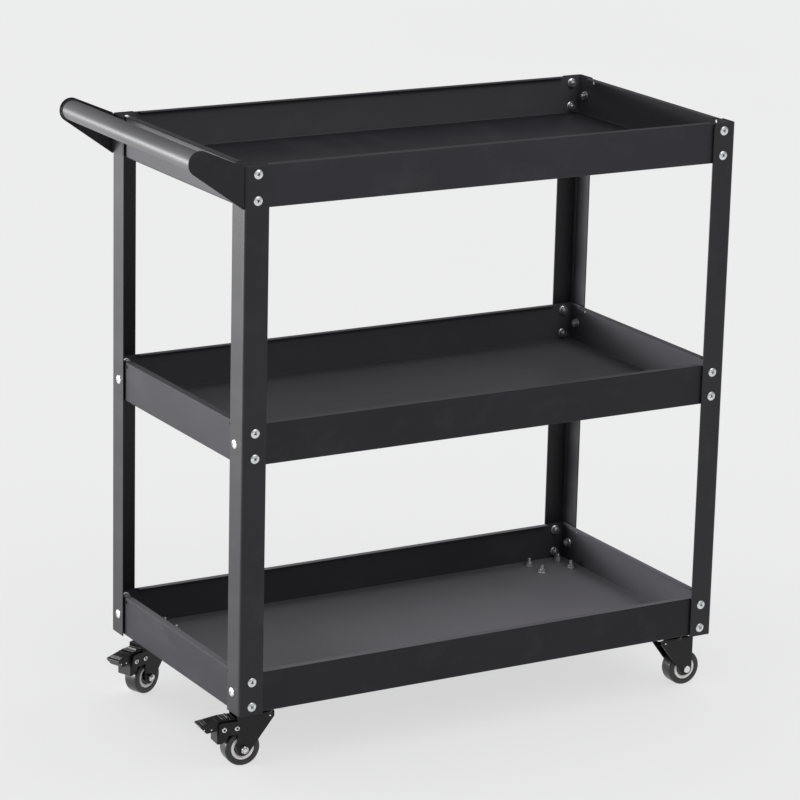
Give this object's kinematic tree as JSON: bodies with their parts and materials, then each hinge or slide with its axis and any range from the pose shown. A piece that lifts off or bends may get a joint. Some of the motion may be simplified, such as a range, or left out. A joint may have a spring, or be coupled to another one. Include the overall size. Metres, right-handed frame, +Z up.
{
  "type": "tool cart",
  "caption": "Rolling steel tool cart with stacked open trays, angle posts, a push handle at one end and swivel casters, the handle end braked.",
  "frame": {"origin": "on the floor at the middle of the cart's overall length and width", "axes": "+X away from the push handle along the trays, +Y across the trays to the back long side, +Z up"},
  "size_m": [0.78, 0.362, 0.7907],
  "materials": {
    "tray_coat": "satin black powder coat",
    "post_coat": "satin black powder coat",
    "handle_coat": "satin black powder coat",
    "zinc_screw": "bright zinc plate",
    "caster_steel": "gloss black lacquer",
    "pedal_steel": "gloss black lacquer",
    "race_steel": "bright steel",
    "bright_steel": "nickel plate",
    "wheel_core": "pale grey moulded plastic",
    "wheel_tread": "black moulded tread"
  },
  "bodies": {
    "cart_frame": {"tray_bottom": "tray_coat", "tray_middle": "tray_coat", "tray_top": "tray_coat", "post_front_left": "post_coat", "post_front_right": "post_coat", "post_back_left": "post_coat", "post_back_right": "post_coat", "handle_tube": "handle_coat", "handle_bracket_front": "handle_coat", "handle_bracket_back": "handle_coat", "end_screw_bottom_front_left": "zinc_screw", "end_screw_bottom_front_right": "zinc_screw", "end_screw_bottom_back_left": "zinc_screw", "end_screw_bottom_back_right": "zinc_screw", "end_screw_middle_front_left": "zinc_screw", "end_screw_middle_front_right": "zinc_screw", "end_screw_middle_back_left": "zinc_screw", "end_screw_middle_back_right": "zinc_screw", "end_screw_top_front_left": "zinc_screw", "end_screw_top_front_right": "zinc_screw", "end_screw_top_back_left": "zinc_screw", "end_screw_top_back_right": "zinc_screw", "caster_plate_front_left": "caster_steel", "caster_plate_front_right": "caster_steel", "caster_plate_back_left": "caster_steel", "caster_plate_back_right": "caster_steel", "ball_race_front_left": "race_steel", "ball_race_front_right": "race_steel", "ball_race_back_left": "race_steel", "ball_race_back_right": "race_steel", "kingpin_front_left": "bright_steel", "kingpin_front_right": "bright_steel", "kingpin_back_left": "bright_steel", "kingpin_back_right": "bright_steel"},
    "swivel_front_left": {"caster_fork_front_left": "caster_steel", "axle_bolt_front_left": "bright_steel", "axle_nut_front_left": "bright_steel", "brake_pivot_rivet_front_left": "bright_steel", "brake_rivet_front_left": "bright_steel"},
    "wheel_front_left": {"wheel_core_front_left": "wheel_core", "wheel_tread_front_left": "wheel_tread"},
    "brake_front_left": {"brake_lever_front_left": "pedal_steel"},
    "swivel_front_right": {"caster_fork_front_right": "caster_steel", "axle_bolt_front_right": "bright_steel", "axle_nut_front_right": "bright_steel"},
    "wheel_front_right": {"wheel_core_front_right": "wheel_core", "wheel_tread_front_right": "wheel_tread"},
    "swivel_back_left": {"caster_fork_back_left": "caster_steel", "axle_bolt_back_left": "bright_steel", "axle_nut_back_left": "bright_steel", "brake_pivot_rivet_back_left": "bright_steel", "brake_rivet_back_left": "bright_steel"},
    "wheel_back_left": {"wheel_core_back_left": "wheel_core", "wheel_tread_back_left": "wheel_tread"},
    "brake_back_left": {"brake_lever_back_left": "pedal_steel"},
    "swivel_back_right": {"caster_fork_back_right": "caster_steel", "axle_bolt_back_right": "bright_steel", "axle_nut_back_right": "bright_steel"},
    "wheel_back_right": {"wheel_core_back_right": "wheel_core", "wheel_tread_back_right": "wheel_tread"}
  },
  "joints": [
    {"name": "swivel_turn_front_left", "type": "hinge", "parent": "cart_frame", "child": "swivel_front_left", "pos_m": [-0.27197, -0.1465, 0.07739], "axis": [0, 0, 1], "continuous": true},
    {"name": "wheel_roll_front_left", "type": "hinge", "parent": "swivel_front_left", "child": "wheel_front_left", "pos_m": [-0.29488, -0.1445, 0.02339], "axis": [-0.0872, -0.9962, 0], "continuous": true},
    {"name": "brake_pedal_front_left", "type": "hinge", "parent": "swivel_front_left", "child": "brake_front_left", "pos_m": [-0.32118, -0.14219, 0.05239], "axis": [-0.0872, -0.9962, 0], "range_deg": [0, 16]},
    {"name": "swivel_turn_front_right", "type": "hinge", "parent": "cart_frame", "child": "swivel_front_right", "pos_m": [0.34303, -0.1465, 0.07739], "axis": [0, 0, 1], "continuous": true},
    {"name": "wheel_roll_front_right", "type": "hinge", "parent": "swivel_front_right", "child": "wheel_front_right", "pos_m": [0.36603, -0.1465, 0.02339], "axis": [0, 1, 0], "continuous": true},
    {"name": "swivel_turn_back_left", "type": "hinge", "parent": "cart_frame", "child": "swivel_back_left", "pos_m": [-0.27197, 0.1465, 0.07739], "axis": [0, 0, 1], "continuous": true},
    {"name": "wheel_roll_back_left", "type": "hinge", "parent": "swivel_back_left", "child": "wheel_back_left", "pos_m": [-0.29329, 0.13788, 0.02339], "axis": [0.3746, -0.9272, 0], "continuous": true},
    {"name": "brake_pedal_back_left", "type": "hinge", "parent": "swivel_back_left", "child": "brake_back_left", "pos_m": [-0.31777, 0.12799, 0.05239], "axis": [0.3746, -0.9272, 0], "range_deg": [0, 16]},
    {"name": "swivel_turn_back_right", "type": "hinge", "parent": "cart_frame", "child": "swivel_back_right", "pos_m": [0.34303, 0.1465, 0.07739], "axis": [0, 0, 1], "continuous": true},
    {"name": "wheel_roll_back_right", "type": "hinge", "parent": "swivel_back_right", "child": "wheel_back_right", "pos_m": [0.36553, 0.14172, 0.02339], "axis": [0.2079, 0.9781, 0], "continuous": true}
  ]
}
